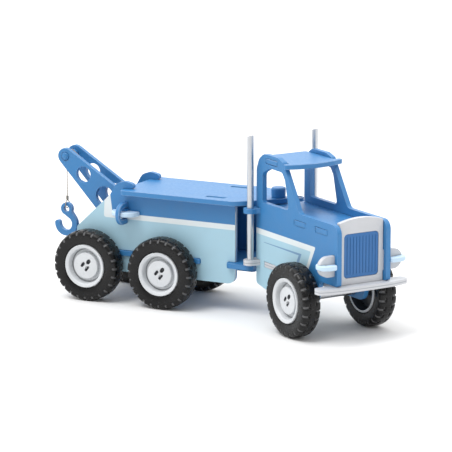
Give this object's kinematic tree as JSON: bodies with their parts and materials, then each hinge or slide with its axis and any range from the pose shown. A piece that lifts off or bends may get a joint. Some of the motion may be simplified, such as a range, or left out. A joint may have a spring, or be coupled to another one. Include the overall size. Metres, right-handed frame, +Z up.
{
  "type": "toy tow truck",
  "caption": "Toy six-wheeled tow truck of interlocking plates: flat deck, crane boom with hand winch and hook, and a steering cab.",
  "frame": {"origin": "centre of the bounding box in plan, on the ground under the tyres, with the cab turned 32.5 degrees to the right", "axes": "+X forward along the rear body, +Y to its left, +Z up"},
  "size_m": [0.3952, 0.1712, 0.1759],
  "materials": {
    "blue_plate": "satin blue",
    "light_blue_plate": "satin light blue",
    "rear_panel_paint": "satin light blue, with a pale stripe and a blue band above it",
    "cab_panel_paint": "satin blue, with a light blue field inside a pale stripe",
    "silver_plate": "satin silver white",
    "white_wheel": "semi-gloss white",
    "tyre": "moulded black rubber with tread blocks",
    "axle_steel": "plain steel rod",
    "exhaust_metal": "satin tube",
    "crimp_metal": "dull crimped sleeve",
    "line": "twisted beige twine"
  },
  "bodies": {
    "rear_body": {"side_panel_right": "rear_panel_paint", "side_panel_left": "rear_panel_paint", "boom_arm_right": "blue_plate", "boom_arm_left": "blue_plate", "deck_plate": "blue_plate", "chassis_plate": "blue_plate", "kingpin": "blue_plate", "kingpin_knob": "blue_plate", "boom_tip_pin": "blue_plate", "axle_rear": "axle_steel", "axle_mid": "axle_steel", "line_inboard": "line"},
    "winch": {"winch_axle": "blue_plate", "winch_drum": "light_blue_plate", "crank_plate_right": "blue_plate", "crank_plate_left": "blue_plate", "crank_disc_right": "light_blue_plate", "crank_disc_left": "light_blue_plate"},
    "hook_line": {"line_fall": "line"},
    "hook": {"tow_hook": "blue_plate", "line_crimp": "crimp_metal", "line_loop": "line"},
    "cab": {"cab_panel_right": "cab_panel_paint", "cab_panel_left": "cab_panel_paint", "exhaust_right": "exhaust_metal", "exhaust_left": "exhaust_metal", "headlight_disc_right": "light_blue_plate", "headlight_disc_left": "light_blue_plate", "roof_plate": "blue_plate", "hood_plate": "blue_plate", "bumper_plate": "silver_plate", "grille_plate": "silver_plate", "grille_insert": "blue_plate", "steering_column": "blue_plate", "axle_front": "axle_steel"},
    "steering": {"steering_wheel": "blue_plate"},
    "wheel_rear_right": {"tyre_rear_right": "tyre", "rim_rear_right": "white_wheel", "hub_cap_rear_right": "white_wheel"},
    "wheel_rear_left": {"tyre_rear_left": "tyre", "rim_rear_left": "white_wheel", "hub_cap_rear_left": "white_wheel"},
    "wheel_mid_right": {"tyre_mid_right": "tyre", "rim_mid_right": "white_wheel", "hub_cap_mid_right": "white_wheel"},
    "wheel_mid_left": {"tyre_mid_left": "tyre", "rim_mid_left": "white_wheel", "hub_cap_mid_left": "white_wheel"},
    "wheel_front_right": {"tyre_front_right": "tyre", "rim_front_right": "white_wheel", "hub_cap_front_right": "white_wheel"},
    "wheel_front_left": {"tyre_front_left": "tyre", "rim_front_left": "white_wheel", "hub_cap_front_left": "white_wheel"}
  },
  "joints": [
    {"name": "cab_steer", "type": "hinge", "parent": "rear_body", "child": "cab", "pos_m": [0.04767, 0.03388, 0.0532], "axis": [0, 0, 1], "range_deg": [-2, 67]},
    {"name": "winch_turn", "type": "hinge", "parent": "rear_body", "child": "winch", "pos_m": [-0.10213, 0.03388, 0.0878], "axis": [0, -1, 0], "range_deg": [0, 270]},
    {"name": "hook_swing", "type": "hinge", "parent": "rear_body", "child": "hook_line", "pos_m": [-0.18443, 0.03388, 0.1338], "axis": [0, 1, 0], "range_deg": [-15, 35]},
    {"name": "hook_slide", "type": "slide", "parent": "hook_line", "child": "hook", "axis": [0, 0, 1], "range_m": [0, 0.0345], "deforming": ["line_fall"]},
    {"name": "steering_wheel_turn", "type": "hinge", "parent": "cab", "child": "steering", "pos_m": [0.07382, 0.01722, 0.115], "axis": [0, 0, 1], "continuous": true},
    {"name": "wheel_spin_rear_right", "type": "hinge", "parent": "rear_body", "child": "wheel_rear_right", "pos_m": [-0.13713, 0.03388, 0.035], "axis": [0, 1, 0], "continuous": true},
    {"name": "wheel_spin_rear_left", "type": "hinge", "parent": "rear_body", "child": "wheel_rear_left", "pos_m": [-0.13713, 0.03388, 0.035], "axis": [0, 1, 0], "continuous": true},
    {"name": "wheel_spin_mid_right", "type": "hinge", "parent": "rear_body", "child": "wheel_mid_right", "pos_m": [-0.05603, 0.03388, 0.035], "axis": [0, 1, 0], "continuous": true},
    {"name": "wheel_spin_mid_left", "type": "hinge", "parent": "rear_body", "child": "wheel_mid_left", "pos_m": [-0.05603, 0.03388, 0.035], "axis": [0, 1, 0], "continuous": true},
    {"name": "wheel_spin_front_right", "type": "hinge", "parent": "cab", "child": "wheel_front_right", "pos_m": [0.12611, -0.01609, 0.035], "axis": [0.5373, 0.8434, 0], "continuous": true},
    {"name": "wheel_spin_front_left", "type": "hinge", "parent": "cab", "child": "wheel_front_left", "pos_m": [0.12611, -0.01609, 0.035], "axis": [0.5373, 0.8434, 0], "continuous": true}
  ],
  "couplings": [
    {"joint": "winch_turn", "follows": "hook_slide", "rad_per_m": 136.59}
  ]
}
